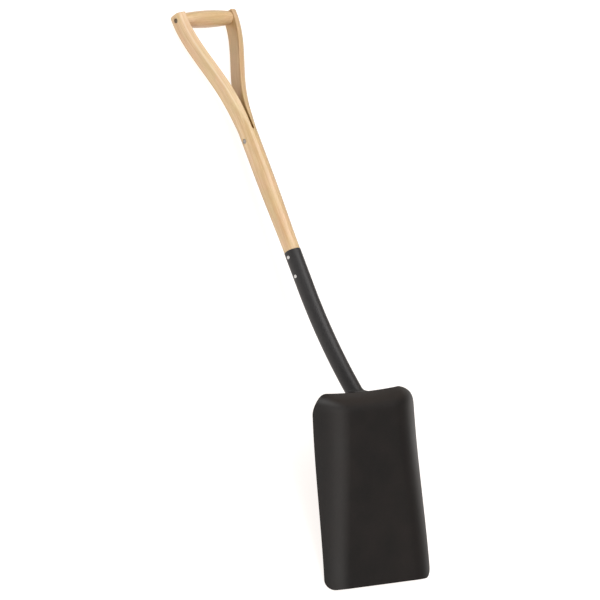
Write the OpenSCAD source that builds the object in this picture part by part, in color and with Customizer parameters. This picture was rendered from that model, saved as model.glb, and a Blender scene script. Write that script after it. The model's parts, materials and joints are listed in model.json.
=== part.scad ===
// Grain scoop shovel with a pressed steel pan, a bent tube socket and a split Y-shaped wooden grip.
// Millimetres, +Z up. It lies on the floor, hollow side down: it rests on the two mouth corners and
// on the crossbar. +X runs across the pan, +Y from the mouth to the grip, the origin is on the floor
// in the middle of the footprint.

/* [Pan] */
// Length of the pan from the mouth to the rear rim
pan_l = 360; // [320:5:400]
// Half of the width over the side walls at the mouth
pan_half_mouth = 134; // [120:1:140]
// Half of the width over the side walls at the rear
pan_half_rear = 127.5; // [115:0.5:134]
// Height of the side walls at the mouth
wall_mouth = 15; // [8:1:20]
// Height of the side walls at the rear
wall_rear = 27; // [20:1:32]
// Radius of the two corners of the outline at the mouth
mouth_r = 21; // [18:1:34]
// Radius of the two corners of the outline at the rear
rear_r = 38; // [30:1:44]
// Sheet thickness
sheet_t = 1.8; // [1.5:0.1:2.5]

/* [Tube socket] */
// Outside diameter of the tube
tube_d = 32; // [30:1:34]
// Wall thickness of the tube
tube_wall = 1.8; // [1.5:0.1:2.5]
// Angle between the tube and the pan where they are welded
lift_pan = 36.5; // [32:0.5:40]
// Angle between the handle and the pan
lift_handle = 24.8; // [22:0.2:28]
// Length of the curved part of the tube
bend_l = 222; // [200:1:240]
// Length of the straight part that grips the wood
socket_l = 75; // [68:1:84]

/* [Wooden handle] */
// Diameter of the shaft at the tube
shaft_d = 31; // [30.4:0.1:31.8]
// Diameter of the shaft below the fork
throat_d = 35.2; // [34:0.1:37]
// Distance from the tube rim to the end of the slit
slit_at = 248; // [235:1:262]
// Distance from the tube rim to the middle of the crossbar
grip_at = 485; // [470:1:500]
// Distance between the middles of the two arms at the crossbar
arm_span = 133; // [120:1:140]
// Thickness of an arm
arm_t = 18; // [16:0.5:20.5]
// Width of an arm at the crossbar
arm_w = 31.5; // [27:0.5:32]
// Width of the slit
kerf = 3; // [2:0.1:4]

/* [Crossbar] */
// Largest diameter of the crossbar
bar_d = 33; // [30:0.5:35]
// Diameter of the crossbar at its ends
bar_end_d = 26.5; // [25:0.5:28]

/* [Rivets] */
// Diameter of the rivet shanks
shank_d = 5; // [4:0.5:5.5]
// Diameter of the heads on the tube
tube_head_d = 7; // [6.5:0.5:8]
// Diameter of the heads on the wood
head_d = 9; // [8:0.5:10]
// Distance from the tube rim to the upper socket rivet
rivet_high = 12; // [10:1:16]
// Distance from the tube rim to the lower socket rivet
rivet_low = 51; // [44:1:58]
// Distance from the slit end down to the throat rivet
throat_rivet_gap = 19; // [16:1:24]

/* [Hidden] */
$fn = 96;
paint = [0.10, 0.10, 0.105];
wood = [0.86, 0.71, 0.52];
steel = [0.72, 0.72, 0.73];
cut = 0.5;
pocket_l = 20;

// ---- pan: a flat sole whose sides and rear curve down to the rim ----
side_run = 72;
side_run_mouth = 54;
rear_run = 38;
rim_sag = 3.2;
corner_blend = 3.4;
corner_steps = 8;
length_steps = 16;
half_steps = 15;

function ease(t) = let (c = min(1, max(0, t))) c * c * (3 - 2 * c);

function half_width(y) = pan_half_mouth + (pan_half_rear - pan_half_mouth) * y / pan_l;

function wall_height(y) = wall_mouth + (wall_rear - wall_mouth) * ease(y / (0.85 * pan_l));

function side_curve(y) = side_run_mouth + (side_run - side_run_mouth) * ease(y / (0.85 * pan_l));

function corner_inset(d, r) = d >= r ? 0 : r - sqrt(r ^ 2 - (r - d) ^ 2);

// Depth of the outside face below the sole, for a place on the pan
function drop(x, y) =
    let (a = max(0, abs(x) - half_width(y) + side_curve(y)) / side_curve(y))
    let (b = max(0, y - pan_l + rear_run) / rear_run)
    wall_height(y) * (a ^ corner_blend + b ^ corner_blend) ^ (2 / corner_blend);

function sag(x, y) = rim_sag * ease((y - pan_l + rear_run) / rear_run) * max(0, 1 - (x / 90) ^ 2);

function outside(x, y) = [x, y - sag(x, y), -drop(x, y)];

function unit(v) = v / norm(v);

// Unit vector from the outside face into the hollow
function inward(x, y) =
    let (e = 0.5)
    unit(cross(outside(x, y + e) - outside(x, y - e), outside(x + e, y) - outside(x - e, y)));

function inside(x, y) = outside(x, y) + sheet_t * inward(x, y);

// Rows run across the pan, closer together in the corners
row_y = concat([for (i = [0 : corner_steps]) mouth_r * (1 - cos(90 * i / corner_steps))],
               [for (i = [1 : length_steps - 1]) mouth_r + (pan_l - mouth_r - rear_r) * i / length_steps],
               [for (i = [corner_steps : -1 : 0]) pan_l - rear_r * (1 - cos(90 * i / corner_steps))]);
rows = len(row_y);
columns = 2 * half_steps + 1;

function row_half(y) = half_width(y) - corner_inset(y, mouth_r) - corner_inset(pan_l - y, rear_r);

// Columns stand closer together where the sides curve
function column(j) = let (u = j / half_steps) sign(u) * (1 - (1 - abs(u)) ^ 1.3);

pan_grid = [for (y = row_y) for (j = [-half_steps : half_steps]) [column(j) * row_half(y), y]];

rim_edge = [for (y = row_y) inside(row_half(y), y)];

// ---- tube and handle axis, in the middle plane of the shovel ----
tube_r = tube_d / 2;
bore_r = tube_r - tube_wall;
rim_gap = 1.8;
bend_r = bend_l / ((lift_pan - lift_handle) * PI / 180);
rim_cross = [pan_l, -sheet_t - rim_gap - rear_run * tan(lift_pan) - tube_r / cos(lift_pan)];
tube_steps = 48;
bend_steps = 12;

function heading(a) = [cos(a), -sin(a)];

bend_mid = rim_cross + bend_r * [sin(lift_pan), cos(lift_pan)];
bend_top = bend_mid - bend_r * [sin(lift_handle), cos(lift_handle)];
tube_top = bend_top + socket_l * heading(lift_handle);
foot_l = 120;
bead = 4;

function axis_z(y) = rim_cross[1] + (pan_l - y) * tan(lift_pan);

// Side view of the bead between the tube and the rear rim, bounded by the inside face of the rear wall
rim_bead_low = inside(0, pan_l - 9);
rim_bead_high = inside(0, pan_l);
rim_bead_side = [[rim_bead_low[1], rim_bead_low[2]], [rim_bead_high[1], rim_bead_high[2]],
                 [rim_bead_high[1], axis_z(rim_bead_high[1]) + tube_r / 2],
                 [rim_bead_low[1], axis_z(rim_bead_low[1]) + tube_r / 2]];

function on_handle(s) = tube_top + s * heading(lift_handle);

// ---- lying pose: the sole is tilted until the crossbar and the mouth corners share the floor ----
bar_mid = on_handle(grip_at);

function height_at(y, z, tilt) = y * sin(tilt) + z * cos(tilt);

function rim_low(tilt) = min([for (p = rim_edge) height_at(p[1], p[2], tilt)]);

function bar_low(tilt) = height_at(bar_mid[0], bar_mid[1], tilt) - bar_d / 2;

function settle(lo, hi, n) =
    let (m = (lo + hi) / 2)
    n == 0 ? m : rim_low(m) > bar_low(m) ? settle(m, hi, n - 1) : settle(lo, m, n - 1);

tilt = settle(10, 35, 40);
far_end = bar_mid[0] * cos(tilt) - bar_mid[1] * sin(tilt) + bar_d / 2;
near_end = min([for (p = rim_edge) p[1] * cos(tilt) - p[2] * sin(tilt)]);

// ---- wooden handle: two mirrored halves, joined below the slit and spread above it ----
tenon_l = 72;
core_l = 200;
fork_end = grip_at + 13;
spread_from = slit_at + 24;
spread_to = grip_at + 3;
slit_point = 5;
end_round = 2.6;
back_slope = 0.25;
ring_steps = 36;
seat_x = (arm_span - arm_t) / 2 + 0.35;
bar_steps = 10;

// ---- rivets: the heads lie in shallow round pockets ----
pocket_d = head_d + 1;
head_rise = 0.9;
grip_head_at = (arm_span + arm_t) / 2 - 1.3;
throat_head_at = throat_d / 2 - 1.3;
tube_head_at = tube_r - 0.4;

function lerp(a, b, t) = a + (b - a) * min(1, max(0, t));

// How far the section has changed from the round shaft to the flat arm
function arm_part(s) = ease((s - slit_at) / 70);

function spread(s) = ease((s - spread_from) / (spread_to - spread_from)) ^ 1.12;

function half_kerf(s) = kerf / 2 * ease((s - slit_at) / slit_point);

function arm_middle(s) = lerp(kerf / 2 + arm_t / 2, arm_span / 2, spread(s));

function arm_slope(s) = (arm_middle(s + 1) - arm_middle(s - 1)) / 2;

function arm_half(s) = arm_t / 2 * sqrt(1 + arm_slope(s) ^ 2);

function shaft_r(s) = lerp(shaft_d / 2, throat_d / 2, ease(s / 150));

function inner_face(s) = s <= slit_at ? 0 : max(half_kerf(s), arm_middle(s) - arm_half(s));

function outer_face(s) = lerp(shaft_r(s), arm_middle(s) + arm_half(s), arm_part(s));

function half_depth(s) = lerp(shaft_r(s), arm_w / 2, ease((s - slit_at + 6) / 90));

function end_scale(s) = s <= fork_end - end_round ? 1
    : sqrt(1 - 0.5 * ((s - fork_end + end_round) / end_round) ^ 2);

function power(c, n) = sign(c) * abs(c) ^ (2 / n);

// One ring of the right half: flat towards the middle, sloping outwards on the back of the tool
function ring(s) =
    let (k = arm_part(s), inner = inner_face(s), outer = outer_face(s))
    let (inner_r = lerp(0, 2.5, k), joint = inner + inner_r)
    let (mid = (inner + outer) / 2, squash = end_scale(s))
    [for (i = [0 : ring_steps - 1])
        let (f = 360 * (i + 0.5) / ring_steps)
        let (out = cos(f) > 0, n = lerp(2, 4, k))
        let (x = joint + power(cos(f), n) * (out ? outer - joint : inner_r))
        let (slope = sin(f) < 0 ? back_slope * k * (x - inner) / (outer - inner) : 0)
        let (y = power(sin(f), n) * half_depth(s) * (1 - slope))
        [mid * k + (x - mid * k) * squash, y * squash, s]];

ring_s = concat([0, 30, 60, 90, 120, 150, 200, slit_at - 10],
                [for (s = [slit_at : 1.25 : slit_at + slit_point]) s],
                [for (s = [slit_at + 12 : 9 : fork_end - end_round - 2]) s],
                [for (t = [0 : 22.5 : 90]) fork_end - end_round * (1 - sin(t))]);

module lying() {
    translate([0, -(near_end + far_end) / 2, -bar_low(tilt)]) rotate([tilt, 0, 0]) children();
}

// Local frame on the handle axis: +Z along the handle, +Y towards the hollow side
module handle_frame(s) {
    p = on_handle(s);
    translate([0, p[0], p[1]]) rotate([-90 - lift_handle, 0, 0]) children();
}

// Closed skin over a list of equal rings
module skin(rings) {
    n = len(rings[0]);
    m = len(rings);
    sides = [for (i = [0 : m - 2]) for (j = [0 : n - 1])
        let (a = i * n + j, b = i * n + (j + 1) % n)
        each [[a, a + n, b + n], [a, b + n, b]]];
    first = [for (j = [0 : n - 1]) j];
    last = [for (j = [n - 1 : -1 : 0]) (m - 1) * n + j];
    polyhedron([for (r = rings) each r], concat(sides, [first, last]));
}

// Straight rivet along X with a low head at each end
module rivet(half_l, head, rise) {
    side = [[shank_d / 2, half_l], [head / 2, half_l], [head / 2, half_l + 0.4 * rise],
            [0.3 * head, half_l + rise], [0, half_l + rise]];
    other = [for (i = [len(side) - 1 : -1 : 0]) [side[i][0], -side[i][1]]];
    rotate([0, 90, 0]) rotate_extrude() polygon(concat(side, other));
}

// Round pockets from half_l outwards on both sides
module pockets(half_l, d) {
    for (side = [-1, 1])
        translate([side * (half_l + pocket_l / 2), 0, 0]) rotate([0, 90, 0])
            cylinder(d = d, h = pocket_l, center = true);
}

module rivet_bore(half_l) {
    rotate([0, 90, 0]) cylinder(d = shank_d, h = 2 * half_l, center = true);
}

module blade() {
    outer = [for (g = pan_grid) outside(g[0], g[1])];
    inner = [for (g = pan_grid) inside(g[0], g[1])];
    shift = rows * columns;
    cells = [for (i = [0 : rows - 2]) for (j = [0 : columns - 2]) i * columns + j];
    top = [for (a = cells) each [[a, a + columns, a + columns + 1], [a, a + columns + 1, a + 1]]];
    under = [for (c = cells) let (a = c + shift)
        each [[a, a + columns + 1, a + columns], [a, a + 1, a + columns + 1]]];
    edge = concat([for (j = [0 : columns - 2]) j],
                  [for (i = [0 : rows - 2]) i * columns + columns - 1],
                  [for (j = [columns - 1 : -1 : 1]) (rows - 1) * columns + j],
                  [for (i = [rows - 1 : -1 : 1]) i * columns]);
    band = [for (k = [0 : len(edge) - 1]) let (a = edge[k], b = edge[(k + 1) % len(edge)])
        each [[a, b, b + shift], [a, b + shift, a + shift]]];
    color(paint) lying() polyhedron(concat(outer, inner), concat(top, under, band));
}

// Straight foot of the tube, below the place where its axis passes the rear rim
module foot_frame() {
    translate([0, rim_cross[0], rim_cross[1]]) rotate([90 - lift_pan, 0, 0]) children();
}

// Round bar of radius r that follows the axis of the tube
module along_tube(r, extra) {
    stations = concat([[rim_cross - foot_l * heading(lift_pan), lift_pan]],
                      [for (i = [0 : bend_steps])
                          let (a = lift_pan + (lift_handle - lift_pan) * i / bend_steps)
                          [bend_mid - bend_r * [sin(a), cos(a)], a]],
                      [[tube_top + extra * heading(lift_handle), lift_handle]]);
    skin([for (st = stations) [for (j = [0 : tube_steps - 1])
        let (f = 360 * j / tube_steps)
        [r * cos(f), st[0][0] - r * sin(f) * sin(st[1]), st[0][1] - r * sin(f) * cos(st[1])]]]);
}

// Layer of the hollow next to the flat sole, as thick as depth
module below_sole(depth, to_y) {
    translate([-pan_half_mouth, 0, -sheet_t - depth]) cube([2 * pan_half_mouth, to_y, depth]);
}

module socket_tube() {
    color(paint) lying() difference() {
        intersection() {
            along_tube(tube_r, 0);
            below_sole(8 * tube_d, 3 * pan_l);
        }
        along_tube(bore_r / cos(180 / tube_steps), cut);
        for (s = [-rivet_high, -rivet_low])
            handle_frame(s) {
                rivet_bore(tube_d);
                pockets(tube_head_at, tube_head_d);
            }
    }
}

// One bead round the foot of the tube, one between the tube and the rear rim
module weld_beads() {
    color(paint) lying() {
        difference() {
            intersection() {
                foot_frame() cylinder(r = tube_r + bead, h = foot_l);
                below_sole(bead, pan_l - rear_run - 2 * rim_gap);
            }
            foot_frame() cylinder(r = tube_r, h = foot_l);
        }
        difference() {
            intersection() {
                foot_frame() cylinder(r = tube_r + bead, h = foot_l);
                rotate([90, 0, 90]) linear_extrude(2 * tube_d, center = true) polygon(rim_bead_side);
            }
            foot_frame() cylinder(r = tube_r, h = foot_l);
        }
    }
}

module handle_half() {
    skin([for (s = ring_s) ring(s)]);
}

module handle_shaft() {
    color(wood) lying() difference() {
        union() {
            handle_frame(0) handle_half();
            handle_frame(0) mirror([1, 0, 0]) handle_half();
            handle_frame(-tenon_l) cylinder(r = bore_r, h = tenon_l + core_l);
        }
        handle_frame(grip_at) {
            rotate([0, 90, 0]) cylinder(d = bar_end_d, h = 2 * seat_x, center = true);
            rivet_bore(arm_span);
            pockets(grip_head_at, pocket_d);
        }
        handle_frame(slit_at - throat_rivet_gap) {
            rivet_bore(throat_d);
            pockets(throat_head_at, pocket_d);
        }
        for (s = [-rivet_high, -rivet_low])
            handle_frame(s) rivet_bore(tube_d);
    }
}

module crossbar() {
    profile = [for (i = [-bar_steps : bar_steps])
        let (u = i / bar_steps) [bar_d / 2 - (bar_d - bar_end_d) / 2 * u ^ 2, u * seat_x]];
    color(wood) lying() handle_frame(grip_at) difference() {
        rotate([0, 90, 0]) rotate_extrude() polygon(concat([[0, -seat_x]], profile, [[0, seat_x]]));
        rivet_bore(arm_span);
    }
}

module grip_rivet() {
    color(steel) lying() handle_frame(grip_at) rivet(grip_head_at, head_d, head_rise);
}

module throat_rivet() {
    color(steel) lying() handle_frame(slit_at - throat_rivet_gap) rivet(throat_head_at, head_d, head_rise);
}

module socket_rivet_upper() {
    color(steel) lying() handle_frame(-rivet_high) rivet(tube_head_at, tube_head_d, head_rise);
}

module socket_rivet_lower() {
    color(steel) lying() handle_frame(-rivet_low) rivet(tube_head_at, tube_head_d, head_rise);
}

blade();
socket_tube();
weld_beads();
handle_shaft();
crossbar();
grip_rivet();
throat_rivet();
socket_rivet_upper();
socket_rivet_lower();
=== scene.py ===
"""Looks of the grain scoop shovel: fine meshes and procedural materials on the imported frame."""
import json
import math
import bmesh
import bpy
import numpy as np
from mathutils import Matrix, Vector


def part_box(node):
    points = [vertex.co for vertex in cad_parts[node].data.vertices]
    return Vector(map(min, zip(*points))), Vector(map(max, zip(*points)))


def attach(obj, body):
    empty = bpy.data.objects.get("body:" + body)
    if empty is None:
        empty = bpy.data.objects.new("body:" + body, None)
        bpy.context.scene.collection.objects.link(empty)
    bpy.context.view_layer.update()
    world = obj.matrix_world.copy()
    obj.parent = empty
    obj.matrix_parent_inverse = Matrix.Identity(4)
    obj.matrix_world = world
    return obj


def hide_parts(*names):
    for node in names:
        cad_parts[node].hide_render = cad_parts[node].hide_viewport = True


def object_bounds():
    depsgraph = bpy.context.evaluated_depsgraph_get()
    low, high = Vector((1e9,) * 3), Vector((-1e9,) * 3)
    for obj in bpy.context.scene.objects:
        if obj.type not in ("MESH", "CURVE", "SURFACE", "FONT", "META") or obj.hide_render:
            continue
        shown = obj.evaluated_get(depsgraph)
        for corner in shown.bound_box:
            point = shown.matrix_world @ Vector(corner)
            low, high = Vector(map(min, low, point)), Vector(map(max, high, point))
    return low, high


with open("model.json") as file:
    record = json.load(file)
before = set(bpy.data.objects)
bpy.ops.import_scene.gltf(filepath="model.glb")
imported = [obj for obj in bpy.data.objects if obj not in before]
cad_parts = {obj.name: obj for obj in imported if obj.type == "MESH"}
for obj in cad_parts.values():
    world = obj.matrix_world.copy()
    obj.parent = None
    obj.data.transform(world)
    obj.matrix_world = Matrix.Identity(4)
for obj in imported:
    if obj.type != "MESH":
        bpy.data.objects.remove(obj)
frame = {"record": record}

CAD_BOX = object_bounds()
MM = 0.001

# ---- sizes in millimetres, as in the CAD source ----
PAN_L, HALF_MOUTH, HALF_REAR = 360.0, 134.0, 127.5
WALL_MOUTH, WALL_REAR = 15.0, 27.0
MOUTH_R, REAR_R = 21.0, 38.0
SHEET = 1.8
SIDE_RUN, SIDE_RUN_MOUTH, REAR_RUN = 72.0, 54.0, 38.0
RIM_SAG, CORNER_BLEND, RISE_PART = 3.2, 3.4, 0.85
TUBE_R, TUBE_WALL = 16.0, 1.8
LIFT_PAN, LIFT_HANDLE = math.radians(36.5), math.radians(24.8)
BEND_L, SOCKET_L, RIM_GAP = 222.0, 75.0, 1.8
SHAFT_D, THROAT_D = 31.0, 35.2
SLIT_AT, GRIP_AT, ARM_SPAN, ARM_T, ARM_W, KERF = 248.0, 485.0, 133.0, 18.0, 31.5, 3.0
BAR_D, BAR_END_D = 33.0, 26.5
HEAD_D, TUBE_HEAD_D, SHANK_D, HEAD_RISE = 9.0, 7.0, 5.0, 0.9
RIVET_HIGH, RIVET_LOW, THROAT_GAP = 12.0, 51.0, 19.0
TIP_AT = GRIP_AT + 13.0
HEAD_SINK, TUBE_HEAD_SINK, SEAT_DEPTH = 1.3, 0.4, 0.35
BACK_SLOPE, TIP_DRAW, SPREAD_POWER = 0.25, 0.5, 1.12
TAPER_L, ARM_BLEND_L, DEPTH_LEAD, DEPTH_BLEND_L = 150.0, 70.0, 6.0, 90.0
INNER_ROUND, ROUND_SECTION, SQUARE_SECTION = 2.5, 2, 4
SAG_HALF_W, COLUMN_CROWDING = 90.0, 1.3
SPREAD_FROM, SPREAD_TO, SLIT_POINT, TIP_ROUND = SLIT_AT + 24.0, GRIP_AT + 3.0, 5.0, 2.6
POCKET_D = HEAD_D + 1.0
GRIP_HEAD_AT = (ARM_SPAN + ARM_T) / 2 - HEAD_SINK
THROAT_HEAD_AT = THROAT_D / 2 - HEAD_SINK
TUBE_HEAD_AT = TUBE_R - TUBE_HEAD_SINK
SEAT_X = (ARM_SPAN - ARM_T) / 2 + SEAT_DEPTH

# ---- details that only the looks have, in millimetres ----
SKIN_GAP = 0.08       # the sheet and the crossbar stay this far inside the CAD skin
EDGE_ROUND = 0.45     # how far the sheared edge of the sheet is drawn in at its two faces
FOOT_GAP = 0.02       # between the foot of the tube and the sole
NECK_L = 40.0         # length above the slit in which the section stays a cut round shaft
POCKET_GAP = 0.3      # between a rivet head and the floor of its pocket
FOOT_BEAD, RIM_BEAD = 3.5, 7.0        # leg of the bead round the foot, reach of the bead at the rim
FOOT_RIPPLES, RIM_RIPPLES = 64, 13
CUT_FADE_L, FACE_REACH = 80.0, 1.2    # the saw cut, raw wood with painted shade, fades over this length, the painted shade of an inner face over this depth
FOOT_SHADE_L = 160.0                  # painted shade near the foot of the tube: darker and less glossy up to this far beyond the welds

# ---- finishes: colours of the paint, the wood (pale, deep, streak) and the steel (dull, bright) ----
PAN_PAINT = (0.0122, 0.0108, 0.0102), (0.0170, 0.0137, 0.0124)
# The tube gets a lighter copy of the satin black paint: painted light, for the light the round tube catches.
TUBE_PAINT_LIT_COPY = (0.0285, 0.0270, 0.0275), (0.0365, 0.0348, 0.0350)
WELD_PAINT = (0.016, 0.0155, 0.015), (0.024, 0.0235, 0.023)
SHAFT_WOOD = (0.78, 0.585, 0.375), (0.66, 0.46, 0.275), (0.84, 0.71, 0.56)
BAR_WOOD = (0.81, 0.585, 0.375), (0.67, 0.46, 0.275), (0.84, 0.70, 0.55)
ZINC_STEEL = (0.42, 0.41, 0.40), (0.66, 0.65, 0.64)
DULL_STEEL = (0.20, 0.19, 0.18), (0.46, 0.44, 0.41)
# Painted shade: the grip rivet's steel is drawn dark, for the shade in its sunk pocket.
POCKET_SHADE_STEEL = (0.085, 0.062, 0.040), (0.19, 0.155, 0.115)
WHITE = (1, 1, 1)

# ---- camera, at the photograph's viewing angle: degrees and metres, and the sensor in millimetres ----
VIEW_AZIMUTH, VIEW_ELEVATION, VIEW_ROLL = -71.40, 44.68, 58.98
VIEW_DISTANCE, VIEW_ANGLE, SENSOR = 13.124, 4.8615, 36.0
AIM_RIGHT, AIM_UP = -0.01664, -0.02789

# ---- studio: the sun, then soft panels as direction, angle of the full part, of the faded edge, colour ----
SUN_TOWARDS, SUN_WIDTH, SUN_STRENGTH = (0.13, 0.03, 1.0), 66, 1.0
SURROUND = (0.12, 0.119, 0.118)
PANELS = [((-0.70, -0.22, 0.68), 8, 30, (1.70, 1.69, 1.68)),
          ((-0.92, -0.20, 0.33), 8, 24, (1.20, 1.19, 1.18)),
          ((0.14, 0.55, 0.82), 8, 26, (4.35, 4.32, 4.26)),
          ((0.18, -0.35, 0.92), 5, 16, (4.05, 3.88, 3.72)),
          ((0.70, 0.60, 0.38), 8, 24, (0.42, 0.28, 0.18))]
FLOOR_RADIUS, FLOOR_DROP = 60.0, 0.0003
FLOOR_GLOW, FLOOR_GLOW_STRENGTH = (1.0, 0.955, 0.92, 1), 0.92


# ---------------------------------------------------------------- frame
def tool_frame():
    """The plane of the sole, read from the mount on its back: a point and the directions X, along, out."""
    mount = next(m for m in frame["record"]["mounts"] if m["name"] == "pan_back")
    out = np.array(mount["axis"], float)
    along = np.array([0.0, out[2], -out[1]])
    start = np.array(mount["pos_m"], float) - along * PAN_L / 2 * MM
    return start, np.array([1.0, 0.0, 0.0]), along, out


START, ACROSS, ALONG, OUT = tool_frame()


def place(points):
    """Millimetres on the tool (across, along the sole, out of its back) to the row frame in metres."""
    p = np.asarray(points, float) * MM
    return START + p[..., :1] * ACROSS + p[..., 1:2] * ALONG + p[..., 2:3] * OUT


def unplace(points):
    """The way back, from the row frame to the tool."""
    p = (np.asarray(points, float) - START) / MM
    return np.stack([p @ ACROSS, p @ ALONG, p @ OUT], -1)


def ease(t):
    t = np.clip(t, 0, 1)
    return t * t * (3 - 2 * t)


def lerp(a, b, t):
    return a + (b - a) * np.clip(t, 0, 1)


def heading(a):
    """Direction of an axis that drops by the angle a: along the sole and out of its back."""
    return np.array([math.cos(a), -math.sin(a)])


# ---- axis of tube and handle, in the middle plane ----
BEND_R = BEND_L / (LIFT_PAN - LIFT_HANDLE)
RIM_CROSS = np.array([PAN_L, -SHEET - RIM_GAP - REAR_RUN * math.tan(LIFT_PAN)
                      - TUBE_R / math.cos(LIFT_PAN)])
BEND_MID = RIM_CROSS + BEND_R * np.array([math.sin(LIFT_PAN), math.cos(LIFT_PAN)])
BEND_TOP = BEND_MID - BEND_R * np.array([math.sin(LIFT_HANDLE), math.cos(LIFT_HANDLE)])
TUBE_TOP = BEND_TOP + SOCKET_L * heading(LIFT_HANDLE)


def from_handle(points):
    """Handle coordinates (across, towards the hollow side, along the handle from the tube rim) to tool."""
    p = np.asarray(points, float)
    c, s = math.cos(LIFT_HANDLE), math.sin(LIFT_HANDLE)
    y = TUBE_TOP[0] + p[..., 2] * c - p[..., 1] * s
    z = TUBE_TOP[1] - p[..., 2] * s - p[..., 1] * c
    return np.stack([p[..., 0], y, z], -1)


def to_handle(points):
    """Tool coordinates to handle coordinates."""
    p = np.asarray(points, float)
    c, s = math.cos(LIFT_HANDLE), math.sin(LIFT_HANDLE)
    y, z = p[..., 1] - TUBE_TOP[0], p[..., 2] - TUBE_TOP[1]
    return np.stack([p[..., 0], -y * s - z * c, y * c - z * s], -1)


# ---------------------------------------------------------------- mesh helpers
def mesh_piece(name, points, faces):
    """A smooth object from tool coordinates in millimetres."""
    mesh = bpy.data.meshes.new(name)
    mesh.from_pydata(place(points).tolist(), [], [list(map(int, f)) for f in faces])
    mesh.update()
    bm = bmesh.new()
    bm.from_mesh(mesh)
    bmesh.ops.remove_doubles(bm, verts=bm.verts, dist=2e-6)
    bmesh.ops.recalc_face_normals(bm, faces=bm.faces)
    bm.to_mesh(mesh)
    bm.free()
    mesh.shade_smooth()
    obj = bpy.data.objects.new(name, mesh)
    bpy.context.scene.collection.objects.link(obj)
    return obj


def strip(first, second, closed):
    """Quads between two index rows of equal length."""
    n = len(first)
    last = n if closed else n - 1
    return [[first[j], first[(j + 1) % n], second[(j + 1) % n], second[j]] for j in range(last)]


def tube_faces(rings, ring_len, capped=False):
    """Quads round a row of equal rings, with both ends closed if capped."""
    rows = np.arange(rings * ring_len).reshape(rings, ring_len)
    faces = []
    for i in range(rings - 1):
        faces += strip(rows[i], rows[i + 1], True)
    if capped:
        faces += [rows[0][::-1], rows[-1]]
    return faces


def sharpen(obj, degrees):
    """Marks the edges that turn by more than this as sharp."""
    obj.data.set_sharp_from_angle(angle=math.radians(degrees))


def finish_piece(obj, node, material):
    """Gives a piece its material, hangs it on the root body and hides the CAD part it replaces."""
    obj.data.materials.append(material)
    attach(obj, "root")
    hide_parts(node)
    return obj


def store(obj, name, values):
    """Keeps a vector for every vertex, which the materials read."""
    attribute = obj.data.attributes.new(name, "FLOAT_VECTOR", "POINT")
    attribute.data.foreach_set("vector", np.asarray(values, np.float32).ravel())


def vertices(obj):
    co = np.zeros(len(obj.data.vertices) * 3)
    obj.data.vertices.foreach_get("co", co)
    return co.reshape(-1, 3)


# ---------------------------------------------------------------- pan
def half_width(y):
    return HALF_MOUTH + (HALF_REAR - HALF_MOUTH) * y / PAN_L


def wall_height(y):
    return WALL_MOUTH + (WALL_REAR - WALL_MOUTH) * ease(y / (RISE_PART * PAN_L))


def side_run(y):
    return SIDE_RUN_MOUTH + (SIDE_RUN - SIDE_RUN_MOUTH) * ease(y / (RISE_PART * PAN_L))


def corner_inset(d, r):
    """How far a corner of radius r draws the outline in, at the distance d from the end."""
    inside = np.clip(r - d, 0, r)
    return r - np.sqrt(np.clip(r * r - inside * inside, 0, None))


def row_half(y):
    return half_width(y) - corner_inset(y, MOUTH_R) - corner_inset(PAN_L - y, REAR_R)


def pan_outside(x, y):
    """Points of the outside face of the sheet: a flat sole whose sides and rear curve down to the rim."""
    a = np.clip(np.abs(x) - half_width(y) + side_run(y), 0, None) / side_run(y)
    b = np.clip(y - PAN_L + REAR_RUN, 0, None) / REAR_RUN
    depth = wall_height(y) * (a ** CORNER_BLEND + b ** CORNER_BLEND) ** (2 / CORNER_BLEND)
    sag = RIM_SAG * ease((y - PAN_L + REAR_RUN) / REAR_RUN) * np.clip(1 - (x / SAG_HALF_W) ** 2, 0, None)
    return np.stack([x, y - sag, -depth], -1)


def pan_inward(x, y):
    """Unit vectors from the outside face into the hollow."""
    e = 0.4
    along = pan_outside(x, y + e) - pan_outside(x, y - e)
    across = pan_outside(x + e, y) - pan_outside(x - e, y)
    n = np.cross(along, across)
    return n / np.linalg.norm(n, axis=-1, keepdims=True)


def pan_grid():
    """Places on the pan, in rows that crowd in the corners and columns that crowd at the sides."""
    turn = np.linspace(0, math.pi / 2, 17)
    rows = np.concatenate([MOUTH_R * (1 - np.cos(turn)),
                           np.linspace(MOUTH_R, PAN_L - REAR_R, 66)[1:-1],
                           PAN_L - REAR_R * (1 - np.cos(turn[::-1]))])
    u = np.linspace(-1, 1, 97)
    u = np.sign(u) * (1 - (1 - np.abs(u)) ** COLUMN_CROWDING)
    return row_half(rows)[:, None] * u[None, :], np.repeat(rows[:, None], len(u), 1)


def edge_inwards(flat, push, border):
    """Unit vectors in the sheet, from each point of its border towards its middle."""
    ring = flat[border]
    tangent = np.roll(ring, -1, 0) - np.roll(ring, 1, 0)
    side = np.cross(tangent, push[border])
    side /= np.linalg.norm(side, axis=1, keepdims=True)
    return side * np.sign(np.sum((flat.mean(0) - ring) * side, 1, keepdims=True))


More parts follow.
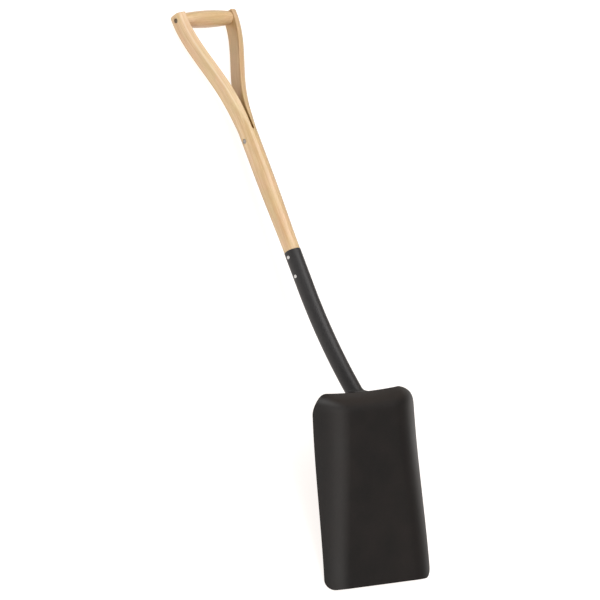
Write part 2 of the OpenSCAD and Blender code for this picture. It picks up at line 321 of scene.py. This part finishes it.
def make_blade(material):
    """The outside and inside faces share one grid, and a rounded sheared edge joins their borders."""
    x, y = pan_grid()
    n, m = y.shape
    index = np.arange(n * m).reshape(n, m)
    border = np.concatenate([index[0], index[1:, -1], index[-1, -2::-1], index[-2:0:-1, 0]])
    outer, push = pan_outside(x, y).reshape(-1, 3), pan_inward(x, y).reshape(-1, 3)
    side = edge_inwards(outer, push, border)
    outer = outer + push * SKIN_GAP
    ring, through = outer[border], push[border] * SHEET
    inner = outer + push * SHEET
    outer[border] = ring + side * EDGE_ROUND
    inner[border] = ring + through + side * EDGE_ROUND
    points, faces = [outer, inner], []
    for i in range(n - 1):
        faces += strip(index[i], index[i + 1], False)
        faces += [f[::-1] for f in strip(index[i] + n * m, index[i + 1] + n * m, False)]
    previous, base = border, 2 * n * m
    for depth, inset in ((0.13, 0.12), (0.38, 0.0), (0.62, 0.0), (0.87, 0.12)):
        points.append(ring + through * depth + side * inset)
        row = base + np.arange(len(border))
        faces += strip(previous, row, True)
        previous = row
        base += len(border)
    faces += strip(previous, border + n * m, True)
    blade = mesh_piece("blade_sheet", np.concatenate(points), faces)
    return finish_piece(blade, "blade", material)


# ---------------------------------------------------------------- tube
def tube_ring(centre, angle, r, steps):
    """A ring of radius r square to an axis that drops by angle."""
    f = np.linspace(0, 2 * math.pi, steps, endpoint=False)
    return np.stack([r * np.cos(f), centre[0] - r * np.sin(f) * math.sin(angle),
                     centre[1] - r * np.sin(f) * math.cos(angle)], -1)


def foot_ring(r, height, steps):
    """Where the straight foot of the tube, with radius r, meets a plane that lies height inside the sole."""
    f = np.linspace(0, 2 * math.pi, steps, endpoint=False)
    return foot_points(r * np.ones(steps), height * np.ones(steps), f)


def foot_points(r, height, f):
    """Points round the foot at the angles f, each with its own radius and its own height inside the sole."""
    c, s = math.cos(LIFT_PAN), math.sin(LIFT_PAN)
    back = (-SHEET - height - RIM_CROSS[1] + r * np.sin(f) * c) / s
    return np.stack([r * np.cos(f), RIM_CROSS[0] - back * c - r * np.sin(f) * s, -SHEET - height], -1)


def make_tube(material):
    """The outside from the foot to the rounded rim, and the bore from the rim down to the tenon."""
    steps = 96
    inner = TUBE_R - TUBE_WALL
    lip = TUBE_WALL / 2
    foot = foot_ring(TUBE_R, FOOT_GAP, steps)
    rings = [foot_ring(inner, FOOT_GAP, steps), foot]
    for t in np.linspace(0.35, 1, 8):
        rings.append(foot * (1 - t) + tube_ring(RIM_CROSS, LIFT_PAN, TUBE_R, steps) * t)
    bend_steps = 48
    for i in range(1, bend_steps + 1):
        a = LIFT_PAN + (LIFT_HANDLE - LIFT_PAN) * i / bend_steps
        rings.append(tube_ring(BEND_MID - BEND_R * np.array([math.sin(a), math.cos(a)]), a, TUBE_R, steps))
    for s in np.linspace(0, SOCKET_L - lip, 16)[1:]:
        rings.append(tube_ring(BEND_TOP + s * heading(LIFT_HANDLE), LIFT_HANDLE, TUBE_R, steps))
    for t in np.linspace(0, math.pi, 9)[1:]:  # the rounded rim
        centre = TUBE_TOP - (lip - lip * math.sin(t)) * heading(LIFT_HANDLE)
        rings.append(tube_ring(centre, LIFT_HANDLE, TUBE_R - lip + lip * math.cos(t), steps))
    rings.append(tube_ring(BEND_TOP + 2 * heading(LIFT_HANDLE), LIFT_HANDLE, inner, steps))
    tube = mesh_piece("bent_tube", np.concatenate(rings), tube_faces(len(rings), steps))
    return finish_piece(tube, "socket_tube", material)


# ---------------------------------------------------------------- weld
def make_foot_bead(rng):
    """A rippled run round the foot, open at the back, where the rear wall begins."""
    around, across = 260, 9
    f = np.linspace(math.radians(118), math.radians(422), around)
    ripple = 0.5 + 0.5 * np.cos(np.linspace(0, FOOT_RIPPLES * 2 * math.pi, around))
    swell = 0.95 + 0.05 * np.sin(7 * f + 1)
    size = FOOT_BEAD * (0.86 + 0.14 * ripple) * swell + rng.normal(0, 0.03, around)
    size *= ease(np.minimum(np.arange(around), np.arange(around)[::-1]) / 8 + 0.25)
    rings = []
    for k in np.linspace(0, math.pi / 2, across):
        rings.append(foot_points(TUBE_R + size * math.sin(k), size * math.cos(k), f))
    rings.append(foot_points(TUBE_R * np.ones(around) - 0.2, 0 * f, f))
    return np.stack(rings, 1)


def tube_back(x, y):
    """The surface of the tube on its back side, above the place (x, y), a little beyond the rear rim."""
    c, sn = math.cos(LIFT_PAN), math.sin(LIFT_PAN)
    up = np.sqrt(np.clip(TUBE_R ** 2 - x ** 2, 0, None))
    t = (y - RIM_CROSS[0] - up * sn) / c
    return np.stack([x, y, RIM_CROSS[1] - t * sn + up * c], -1)


def make_rim_fillet(rng):
    """The weld that closes the gap between the rear rim and the back of the tube."""
    around, across = 121, 14
    x = np.linspace(-15.6, 15.6, around)
    rim = pan_outside(x, np.full(around, PAN_L - 0.4))
    waves = np.cos(np.linspace(0, RIM_RIPPLES * 2 * math.pi, around))
    reach = RIM_BEAD + 0.5 * waves + rng.normal(0, 0.08, around)
    far = tube_back(x, rim[:, 1] + reach * np.sqrt(np.clip(1 - (x / 17.5) ** 2, 0.05, 1)))
    bend = np.stack([x, rim[:, 1] + 1.6, (rim[:, 2] + far[:, 2] * 2) / 3], -1)
    rings = []
    for t in np.linspace(0, 1, across):
        ripple = 0.12 * math.sin(math.pi * t) * waves
        curve = (1 - t) ** 2 * rim + 2 * t * (1 - t) * bend + t ** 2 * far
        rings.append(curve + ripple[:, None] * np.array([0, 0.4, 0.9]))
    rings.append(far + np.array([0, -0.5, -1.2]))
    rings.append(rim + np.array([0, -0.5, -2.0]))
    return np.stack(rings, 1)


def make_welds(material):
    rng = np.random.default_rng(4)
    points, faces, base = [], [], 0
    for grid in (make_foot_bead(rng), make_rim_fillet(rng)):
        n, m = grid.shape[:2]
        faces += [[v + base for v in f] for f in tube_faces(n, m, True)]
        points.append(grid.reshape(-1, 3))
        base += n * m
    welds = mesh_piece("weld_runs", np.concatenate(points), faces)
    return finish_piece(welds, "weld_beads", material)


# ---------------------------------------------------------------- wooden handle
def arm_part(s):
    """How far the section at s has changed from the round shaft to the flat arm."""
    return ease((s - SLIT_AT) / ARM_BLEND_L)


def arm_middle(s):
    spread = ease((s - SPREAD_FROM) / (SPREAD_TO - SPREAD_FROM)) ** SPREAD_POWER
    return lerp((KERF + ARM_T) / 2, ARM_SPAN / 2, spread)


def arm_half(s):
    slope = (arm_middle(s + 1) - arm_middle(s - 1)) / 2
    return ARM_T / 2 * math.sqrt(1 + slope ** 2)


def shaft_r(s):
    return lerp(SHAFT_D / 2, THROAT_D / 2, ease(s / TAPER_L))


def inner_face(s):
    if s <= SLIT_AT:
        return 0.0
    return max(KERF / 2 * ease((s - SLIT_AT) / SLIT_POINT), arm_middle(s) - arm_half(s))


def half_depth(s):
    return lerp(shaft_r(s), ARM_W / 2, ease((s - SLIT_AT + DEPTH_LEAD) / DEPTH_BLEND_L))


def end_scale(s):
    """The end of the arm draws in over its last millimetres."""
    t = (s - TIP_AT + TIP_ROUND) / TIP_ROUND
    return math.sqrt(1 - TIP_DRAW * t * t) if t > 0 else 1.0


def power(c, n):
    return np.sign(c) * np.abs(c) ** (2 / n)


def arm_ring(s, outer_f, inner_f):
    """Points of the right half at s: the outer arc, then the inner face."""
    k = arm_part(s)
    inner, outer = inner_face(s), lerp(shaft_r(s), arm_middle(s) + arm_half(s), k)
    inner_r, n = lerp(0, INNER_ROUND, k), lerp(ROUND_SECTION, SQUARE_SECTION, k)
    joint = inner + inner_r
    # just above the slit the shaft stays round, and the slit is cut from it
    pivot = joint * ease((s - SLIT_AT) / NECK_L)
    limit = math.acos(((joint - pivot) / (outer - pivot)) ** (n / 2))
    turn = outer_f * limit / (math.pi / 2)
    xo = pivot + power(np.cos(turn), n) * (outer - pivot)
    yo = power(np.sin(turn), n) * half_depth(s)
    xi = joint + power(np.cos(inner_f), n) * inner_r
    yi = power(np.sin(inner_f), n) * yo.max()
    x, y = np.concatenate([xo, xi]), np.concatenate([yo, yi])
    y = np.where(y < 0, y * (1 - BACK_SLOPE * k * (x - inner) / (outer - inner)), y)
    mid, squash = (inner + outer) / 2 * k, end_scale(s)
    return np.stack([mid + (x - mid) * squash, y * squash, np.full(len(x), s)], -1)


def handle_stations():
    """Places along the handle up to the slit, with a chamfered start, and from there to the rounded end."""
    low = np.concatenate([[-2.0], [-0.4], np.linspace(0.2, SLIT_AT, 60)])
    high = np.concatenate([SLIT_AT + np.array([0.5, 1, 2, 3, 4, 5]),
                           np.linspace(SLIT_AT + 8, TIP_AT - TIP_ROUND, 96),
                           TIP_AT - TIP_ROUND * (1 - np.sin(np.linspace(0, math.pi / 2, 10)[1:]))])
    return low, high


def half_handle(side):
    """One half of the wood: open towards the other half below the slit, closed above it."""
    arc, face = 65, 33
    outer_f = np.linspace(-math.pi / 2, math.pi / 2, arc)
    inner_f = np.linspace(math.pi / 2, 3 * math.pi / 2, face)[1:-1]
    low, high = handle_stations()
    stations = np.concatenate([low, high])
    rings = [arm_ring(max(s, 0), outer_f, inner_f) for s in stations]
    for ring, scale, s in ((rings[0], 0.90, low[0]), (rings[1], 0.985, low[1])):
        ring[:] = ring * [scale, scale, 1] + [0, 0, s]
    n = len(outer_f) + len(inner_f)
    index = np.arange(len(stations) * n).reshape(len(stations), n)
    faces = []
    for i in range(len(stations) - 1):
        below_slit = i < len(low) - 1
        a, b = index[i], index[i + 1]
        faces += strip(a[:arc], b[:arc], False) if below_slit else strip(a, b, True)
    tip, centre = index[-1], index.size
    points = np.vstack([np.concatenate(rings), rings[-1].mean(0) + [0, 0, 0.1]]) * [side, 1, 1]
    faces += [[tip[j], tip[(j + 1) % n], centre] for j in range(n)]
    if side < 0:
        faces = [f[::-1] for f in faces]
    return points, faces


def cutter(name, centre, depth_from, d):
    """A round cutter along X, from depth_from outwards on both sides of the handle axis."""
    bm = bmesh.new()
    far = depth_from + 30
    for side in (-1, 1):
        middle = from_handle([side * (depth_from + far) / 2, 0, centre])
        at = Matrix.Translation(Vector(place(middle))) @ Matrix.Rotation(math.pi / 2, 4, "Y")
        bmesh.ops.create_cone(bm, cap_ends=True, segments=48, radius1=d / 2 * MM, radius2=d / 2 * MM,
                              depth=(far - depth_from) * MM, matrix=at)
    mesh = bpy.data.meshes.new(name)
    bm.to_mesh(mesh)
    bm.free()
    obj = bpy.data.objects.new(name, mesh)
    bpy.context.scene.collection.objects.link(obj)
    return obj


def carve(obj, tools):
    """Cuts the tools out of obj for good and removes them."""
    for tool in tools:
        cut = obj.modifiers.new("pocket", "BOOLEAN")
        cut.object, cut.operation, cut.solver = tool, "DIFFERENCE", "EXACT"
    depsgraph = bpy.context.evaluated_depsgraph_get()
    done = bpy.data.meshes.new_from_object(obj.evaluated_get(depsgraph))
    obj.modifiers.clear()
    obj.data = done
    for tool in tools:
        bpy.data.objects.remove(tool)


def handle_grain(points):
    """Coordinates that follow the grain: across, through and along, in millimetres."""
    p = to_handle(unplace(points))
    s = p[:, 2]
    bend = arm_middle(s) - arm_middle(np.zeros_like(s))
    x = p[:, 0] - np.sign(p[:, 0]) * np.where(s > SLIT_AT, bend, 0)
    return np.stack([x, p[:, 1], s], -1)


def handle_painted_light_masks(points):
    """Masks from 0 to 1: the narrow end of the saw cut, with painted shade in the slit, the inner faces of
    the arms, with painted shade between them, and their outer ridges, with a painted highlight.
    """
    p = to_handle(unplace(points))
    x, y, s = np.abs(p[:, 0]), np.abs(p[:, 1]), p[:, 2]
    inner = np.array([inner_face(v) for v in s])
    outer = arm_middle(s) + np.array([arm_half(v) for v in s])
    # Painted shade on and next to the inner faces of the arms, which face each other.
    near = (s > SLIT_AT - 0.5) * np.clip(1.5 - (x - inner) / FACE_REACH, 0, 1)
    # The saw cut: unvarnished raw wood, with painted shade in the narrow slit.
    cut = near * np.clip(1 - (s - SLIT_AT) / CUT_FADE_L, 0, 1) ** 2
    # A painted highlight along the outer ridge of each arm.
    off_ridge = (x - inner) / (outer - inner) - y / (ARM_W / 2)
    ridge_highlight = np.exp(-(off_ridge / 0.13) ** 2) * ease((s - SLIT_AT - 20) / 60) * (y > 8)
    return np.stack([cut, near, ridge_highlight], -1)


def make_handle(material):
    """Both halves of the wood as one mesh, with pockets for the rivet heads and the masks of its material:
    the grain, and the painted shade and highlight.
    """
    right, right_faces = half_handle(1)
    left, left_faces = half_handle(-1)
    faces = right_faces + [[v + len(right) for v in f] for f in left_faces]
    handle = mesh_piece("split_handle", from_handle(np.concatenate([right, left])), faces)
    carve(handle, [cutter("cut_grip", GRIP_AT, GRIP_HEAD_AT - POCKET_GAP, POCKET_D),
                   cutter("cut_throat", SLIT_AT - THROAT_GAP, THROAT_HEAD_AT - POCKET_GAP, POCKET_D)])
    sharpen(handle, 50)
    points = vertices(handle)
    store(handle, "grain", handle_grain(points))
    store(handle, "saw_cut_and_painted_light", handle_painted_light_masks(points))
    return finish_piece(handle, "handle_shaft", material)


def make_crossbar(material):
    """A barrel turned on a lathe, with faint tool marks."""
    steps = 96
    u = np.linspace(-1, 1, 81)
    radius = BAR_D / 2 - (BAR_D - BAR_END_D) / 2 * u ** 2
    radius = radius - SKIN_GAP + 0.03 * np.sin(u * 210) * (1 - u ** 2)
    turn = np.linspace(0, 2 * math.pi, steps, endpoint=False)
    rings = [np.stack([np.full(steps, ui * SEAT_X), r * np.cos(turn), GRIP_AT + r * np.sin(turn)], -1)
             for ui, r in zip(u, radius)]
    points = from_handle(np.concatenate(rings))
    bar = mesh_piece("turned_crossbar", points, tube_faces(len(rings), steps, True))
    sharpen(bar, 50)
    p = to_handle(unplace(vertices(bar)))
    store(bar, "grain", np.stack([p[:, 1] + 60, p[:, 2] - GRIP_AT, p[:, 0]], -1))
    return finish_piece(bar, "crossbar", material)


# ---------------------------------------------------------------- rivets
def rivet_rings(at, half_l, sign, r, rng, seed):
    """Rings of one half of a rivet: its shank from the middle, then the low, slightly uneven head."""
    steps = 40
    dome = [(r - 0.55, -0.25), (r - 0.1, -0.1), (r, 0.15), (r - 0.1, 0.36), (r - 0.5, 0.55),
            (r * 0.7, 0.74), (r * 0.45, 0.85), (r * 0.2, HEAD_RISE)]
    turn = np.linspace(0, 2 * math.pi, steps, endpoint=False)

    def ring(x, radius):
        return np.stack([x * np.ones(steps), radius * np.cos(turn), at + radius * np.sin(turn)], -1)

    rings = [ring(0.0, SHANK_D / 2), ring(sign * (half_l - 0.3), SHANK_D / 2)]
    for radius, rise in dome:
        wobble = 1 + 0.012 * np.sin(3 * turn + seed) + rng.normal(0, 0.003, steps)
        lift = np.minimum(rise + 0.03 * np.sin(2 * turn + radius + seed), HEAD_RISE)
        rings.append(ring(sign * (half_l + lift), radius * wobble))
    return rings


def make_rivet(name, node, at, half_l, head_d, material, seed):
    """A peened rivet along X, with the same head at both ends."""
    rng = np.random.default_rng(seed)
    points, faces, base = [], [], 0
    for sign in (-1, 1):
        rings = rivet_rings(at, half_l, sign, head_d / 2, rng, seed)
        steps = len(rings[0])
        faces += [[v + base for v in f] for f in tube_faces(len(rings), steps)]
        tip = base + len(rings) * steps
        row = tip - steps + np.arange(steps)
        faces += [[row[j], row[(j + 1) % steps], tip] for j in range(steps)]
        points += rings + [[[sign * (half_l + HEAD_RISE), 0, at]]]
        base = tip + 1
    rivet = mesh_piece(name, from_handle(np.concatenate(points)), faces)
    sharpen(rivet, 60)
    return finish_piece(rivet, node, material)


# ---------------------------------------------------------------- materials
def new_material(name):
    """A material with one Principled shader: the material, its node tree and the shader."""
    material = bpy.data.materials.new(name)
    material.use_nodes = True
    tree = material.node_tree
    tree.nodes.clear()
    output = tree.nodes.new("ShaderNodeOutputMaterial")
    shader = tree.nodes.new("ShaderNodeBsdfPrincipled")
    tree.links.new(shader.outputs["BSDF"], output.inputs["Surface"])
    return material, tree, shader


def add_node(tree, kind, inputs=(), **settings):
    """A node with its settings and its inputs, each a value or a socket."""
    node = tree.nodes.new(kind)
    for key, value in settings.items():
        setattr(node, key, value)
    for key, value in dict(inputs).items():
        if isinstance(value, bpy.types.NodeSocket):
            tree.links.new(value, node.inputs[key])
        else:
            node.inputs[key].default_value = value
    return node


def noise(tree, vector, scale=1.0, detail=2.0, roughness=0.5, distortion=0.0):
    inputs = {"Vector": vector, "Scale": scale, "Detail": detail, "Roughness": roughness,
              "Distortion": distortion}
    return add_node(tree, "ShaderNodeTexNoise", inputs).outputs["Fac"]


def ramp(tree, factor, start, first, end, last):
    """Goes from the colour first, where the factor is start, to the colour last, where it is end."""
    node = add_node(tree, "ShaderNodeValToRGB", {"Fac": factor})
    for element, position, colour in zip(node.color_ramp.elements, (start, end), (first, last)):
        element.position = position
        element.color = (*colour, 1)
    return node.outputs["Color"]


def grey(v):
    return (v, v, v)


def grain_noise(tree, across, along, **settings):
    """Noise in the grain coordinates of a piece, at one scale across the grain and another along it."""
    source = add_node(tree, "ShaderNodeAttribute", attribute_name="grain").outputs["Vector"]
    scaled = add_node(tree, "ShaderNodeMapping", {"Vector": source, "Scale": (across, across, along)})
    return noise(tree, scaled.outputs["Vector"], **settings)


def mix(tree, factor, a, b, blend="MIX"):
    node = add_node(tree, "ShaderNodeMix", data_type="RGBA", blend_type=blend)
    for socket, value in ((node.inputs[0], factor), (node.inputs[6], a), (node.inputs[7], b)):
        if isinstance(value, bpy.types.NodeSocket):
            tree.links.new(value, socket)
        else:
            socket.default_value = value if isinstance(value, (int, float)) else (*value, 1)
    return node.outputs[2]


def multiply(tree, factor, a, b):
    return mix(tree, factor, a, b, "MULTIPLY")


def bump(tree, height, distance, normal=None):
    inputs = {"Height": height, "Distance": distance}
    if normal is not None:
        inputs["Normal"] = normal
    return add_node(tree, "ShaderNodeBump", inputs).outputs["Normal"]


def blend_between(tree, value, start, first, end, last, curve="LINEAR"):
    """A number that goes from first, where the value is start, to last, where it is end."""
    inputs = {"Value": value, "From Min": start, "From Max": end, "To Min": first, "To Max": last}
    return add_node(tree, "ShaderNodeMapRange", inputs, interpolation_type=curve).outputs["Result"]


def paint_material(name, colours, roughness, gloss, foot_shade=1.0):
    """Satin black powder paint: fine orange peel, faint cloudiness, and painted shade that makes it darker
    and duller towards the welds.
    """
    material, tree, shader = new_material(name)
    place_in = add_node(tree, "ShaderNodeTexCoord").outputs["Object"]
    cloud = noise(tree, place_in, scale=14.0, detail=4.0, roughness=0.6)
    grain = noise(tree, place_in, scale=900.0)
    peel = noise(tree, place_in, scale=420.0)
    dark, light = colours
    colour = ramp(tree, cloud, 0.3, dark, 0.7, light)
    speckled = multiply(tree, 1.0, colour, ramp(tree, grain, 0.35, grey(0.85), 0.7, grey(1.15)))
    along = add_node(tree, "ShaderNodeSeparateXYZ", {"Vector": place_in}).outputs["Y"]
    # Painted shade near the foot of the tube: darker colour and less gloss close to the welds.
    weld_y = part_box("weld_beads")[1][1]
    shade = blend_between(tree, along, weld_y, foot_shade, weld_y + FOOT_SHADE_L * MM, 1.0,
                          "SMOOTHSTEP")
    tree.links.new(multiply(tree, 1.0, speckled, shade), shader.inputs["Base Color"])
    rough = ramp(tree, cloud, 0.3, grey(roughness - 0.03), 0.7, grey(roughness + 0.04))
    tree.links.new(rough, shader.inputs["Roughness"])
    fine = bump(tree, grain, distance=0.00003)
    tree.links.new(bump(tree, peel, distance=0.00006, normal=fine), shader.inputs["Normal"])
    shine = add_node(tree, "ShaderNodeMath", {0: shade, 1: gloss}, operation="MULTIPLY")
    tree.links.new(shine.outputs[0], shader.inputs["Specular IOR Level"])
    return material


def wood_figure(tree, fibre, pale, deep, streak):
    """Colour of fresh wood: long soft streaks, short pores, patches of pinker and yellower tone."""
    broad = grain_noise(tree, across=0.05, along=0.006, detail=3.0, roughness=0.55, distortion=0.4)
    bands = grain_noise(tree, across=0.32, along=0.007, detail=4.0, roughness=0.6, distortion=0.6)
    patch = grain_noise(tree, across=0.035, along=0.02, distortion=0.3)
    pores = grain_noise(tree, across=3.2, along=0.16)
    tone = ramp(tree, broad, 0.3, deep, 0.72, pale)
    tint = ramp(tree, patch, 0.35, (1.03, 0.965, 0.93), 0.65, (0.97, 1.0, 0.86))
    lines = ramp(tree, bands, 0.32, streak, 0.60, WHITE)
    hair = ramp(tree, fibre, 0.3, grey(0.85), 0.65, grey(1.06))
    dash = ramp(tree, pores, 0.27, (0.62, 0.52, 0.42), 0.36, WHITE)
    colour = tone
    for strength, layer in ((0.9, tint), (0.7, lines), (0.8, hair), (0.6, dash)):
        colour = multiply(tree, strength, colour, layer)
    return colour


def wood_painted_light(tree, colour):
    """Painted shade on the edges that turn away from view, on the inner faces and in the saw cut, and a
    painted highlight along the ridges.
    """
    painted_light_node = add_node(tree, "ShaderNodeAttribute", attribute_name="saw_cut_and_painted_light")
    mask = add_node(tree, "ShaderNodeSeparateXYZ", {"Vector": painted_light_node.outputs["Vector"]}).outputs
    # Painted shade: the wood is drawn darker where its surface turns away from view, at the rounded edges and
    # sides.
    facing = add_node(tree, "ShaderNodeLayerWeight", {"Blend": 0.5}).outputs["Facing"]
    edge = ramp(tree, facing, 0.38, WHITE, 0.90, (0.64, 0.58, 0.49))
    # Painted shade on the inner faces of the arms, where the other arm shades them.
    inside = mix(tree, mask["Y"], WHITE, (0.72, 0.68, 0.57))
    shaded = multiply(tree, 1.0, multiply(tree, 1.0, colour, edge), inside)
    # Painted highlight: a paler line along the outer ridges of the arms.
    ridge_highlight = add_node(tree, "ShaderNodeMath", {0: mask["Z"], 1: 0.22}, operation="MULTIPLY").outputs[0]
    painted_highlight = mix(tree, ridge_highlight, shaded, (0.98, 0.86, 0.70))
    # The saw cut is raw wood without varnish, and painted shade makes the slit near black-brown.
    return mix(tree, mask["X"], painted_highlight, (0.26, 0.12, 0.04)), mask["X"]


def wood_material(name, colours):
    """Clear-varnished pale hardwood, with no varnish in the saw cut."""
    material, tree, shader = new_material(name)
    fibre = grain_noise(tree, across=2.2, along=0.05, detail=3.0, roughness=0.6)
    colour, cut = wood_painted_light(tree, wood_figure(tree, fibre, *colours))
    tree.links.new(colour, shader.inputs["Base Color"])
    tree.links.new(ramp(tree, fibre, 0.3, grey(0.52), 0.7, grey(0.42)), shader.inputs["Roughness"])
    tree.links.new(bump(tree, fibre, distance=0.00005), shader.inputs["Normal"])
    varnish = blend_between(tree, cut, 0.0, 0.45, 0.5, 0.0)
    tree.links.new(varnish, shader.inputs["Coat Weight"])
    tree.links.new(varnish, shader.inputs["Specular IOR Level"])
    shader.inputs["Coat Roughness"].default_value = 0.2
    return material


def steel_material(name, colours):
    """Rivet steel with hammer marks and dull patches."""
    material, tree, shader = new_material(name)
    place_in = add_node(tree, "ShaderNodeTexCoord").outputs["Object"]
    patch = noise(tree, place_in, scale=500.0, detail=3.0, roughness=0.6)
    scratch = noise(tree, place_in, scale=2600.0)
    dull, bright = colours
    tree.links.new(ramp(tree, patch, 0.3, dull, 0.7, bright), shader.inputs["Base Color"])
    tree.links.new(ramp(tree, patch, 0.3, grey(0.42), 0.7, grey(0.26)), shader.inputs["Roughness"])
    tree.links.new(bump(tree, scratch, distance=0.00003), shader.inputs["Normal"])
    shader.inputs["Metallic"].default_value = 1.0
    return material


def floor_material():
    """A plain pale floor that glows, so that the ground stays near white and shadows stay faint."""
    material, tree, shader = new_material("pale_floor")
    place_in = add_node(tree, "ShaderNodeTexCoord").outputs["Object"]
    soft = noise(tree, place_in, scale=2.0, detail=3.0)
    tree.links.new(ramp(tree, soft, 0.3, grey(0.29), 0.7, grey(0.31)), shader.inputs["Base Color"])
    shader.inputs["Roughness"].default_value = 0.9
    shader.inputs["Specular IOR Level"].default_value = 0.1
    shader.inputs["Emission Color"].default_value = FLOOR_GLOW
    shader.inputs["Emission Strength"].default_value = FLOOR_GLOW_STRENGTH
    return material


# ---------------------------------------------------------------- studio
def make_floor():
    bm = bmesh.new()
    bmesh.ops.create_circle(bm, cap_ends=True, segments=64, radius=FLOOR_RADIUS)
    mesh = bpy.data.meshes.new("floor")
    bm.to_mesh(mesh)
    bm.free()
    floor = bpy.data.objects.new("floor", mesh)
    floor.location.z = -FLOOR_DROP
    mesh.materials.append(floor_material())
    bpy.context.scene.collection.objects.link(floor)


def make_sun():
    """A broad soft light nearly overhead."""
    data = bpy.data.lights.new("softbox", "SUN")
    data.energy = SUN_STRENGTH
    data.angle = math.radians(SUN_WIDTH)
    light = bpy.data.objects.new("softbox", data)
    bpy.context.scene.collection.objects.link(light)
    light.rotation_mode = "QUATERNION"
    light.rotation_quaternion = Vector(SUN_TOWARDS).to_track_quat("Z", "Y")


def make_surround():
    """A dim surround with soft-edged bright panels, which the paint and the varnish reflect."""
    world = bpy.data.worlds.new("studio")
    bpy.context.scene.world = world
    world.use_nodes = True
    tree = world.node_tree
    tree.nodes.clear()
    output = tree.nodes.new("ShaderNodeOutputWorld")
    background = tree.nodes.new("ShaderNodeBackground")
    tree.links.new(background.outputs["Background"], output.inputs["Surface"])
    direction = add_node(tree, "ShaderNodeTexCoord").outputs["Generated"]
    total = SURROUND
    for towards, inner, outer, colour in PANELS:
        dot = add_node(tree, "ShaderNodeVectorMath", {0: direction, 1: Vector(towards).normalized()},
                       operation="DOT_PRODUCT").outputs["Value"]
        panel = blend_between(tree, dot, math.cos(math.radians(outer)), 0.0,
                              math.cos(math.radians(inner)), 1.0, "SMOOTHSTEP")
        total = add_node(tree, "ShaderNodeVectorMath", {0: panel, 1: colour, 2: total},
                         operation="MULTIPLY_ADD").outputs[0]
    tree.links.new(total, background.inputs["Color"])
    background.inputs["Strength"].default_value = 1.0


def make_camera():
    """A long lens, aimed a little off the middle of the CAD box and rolled as the photograph is."""
    a, e, roll = math.radians(VIEW_AZIMUTH), math.radians(VIEW_ELEVATION), math.radians(VIEW_ROLL)
    back = Vector((math.sin(a) * math.cos(e), -math.cos(a) * math.cos(e), math.sin(e)))
    level = Vector((math.cos(a), math.sin(a), 0))
    rise = back.cross(level)
    right = level * math.cos(roll) + rise * math.sin(roll)
    up = rise * math.cos(roll) - level * math.sin(roll)
    aim = (CAD_BOX[0] + CAD_BOX[1]) / 2 + right * AIM_RIGHT + up * AIM_UP
    data = bpy.data.cameras.new("camera")
    data.sensor_width = SENSOR
    data.lens = SENSOR / 2 / math.tan(math.radians(VIEW_ANGLE) / 2)
    data.clip_end = 200.0
    camera = bpy.data.objects.new("camera", data)
    bpy.context.scene.collection.objects.link(camera)
    turn = Matrix((right, up, back)).transposed()
    camera.matrix_world = Matrix.Translation(aim + back * VIEW_DISTANCE) @ turn.to_4x4()
    bpy.context.scene.camera = camera


def build():
    make_blade(paint_material("satin_black_pan_paint", PAN_PAINT, roughness=0.40, gloss=0.205))
    # The tube: the lighter copy of the paint as painted light, with painted shade near its foot.
    make_tube(paint_material("satin_black_paint_lit_copy_for_tube", TUBE_PAINT_LIT_COPY, roughness=0.42, gloss=0.27,
                             foot_shade=0.75))
    make_welds(paint_material("painted_weld", WELD_PAINT, roughness=0.5, gloss=0.3))
    make_handle(wood_material("varnished_hardwood", SHAFT_WOOD))
    make_crossbar(wood_material("varnished_crossbar_wood", BAR_WOOD))
    zinc = steel_material("zinc_rivet_steel", ZINC_STEEL)
    dull = steel_material("dull_rivet_steel", DULL_STEEL)
    # The grip rivet is painted dark as shade in its pocket.
    dark = steel_material("rivet_steel_with_painted_pocket_shade", POCKET_SHADE_STEEL)
    make_rivet("grip_rivet_heads", "grip_rivet", GRIP_AT, GRIP_HEAD_AT, HEAD_D, dark, 1)
    make_rivet("throat_rivet_heads", "throat_rivet", SLIT_AT - THROAT_GAP, THROAT_HEAD_AT, HEAD_D, dull, 2)
    make_rivet("upper_socket_rivet", "socket_rivet_upper", -RIVET_HIGH, TUBE_HEAD_AT, TUBE_HEAD_D, zinc, 3)
    make_rivet("lower_socket_rivet", "socket_rivet_lower", -RIVET_LOW, TUBE_HEAD_AT, TUBE_HEAD_D, zinc, 4)


bpy.context.scene.view_settings.view_transform = "Standard"
make_camera()
make_floor()
make_sun()
make_surround()
build()
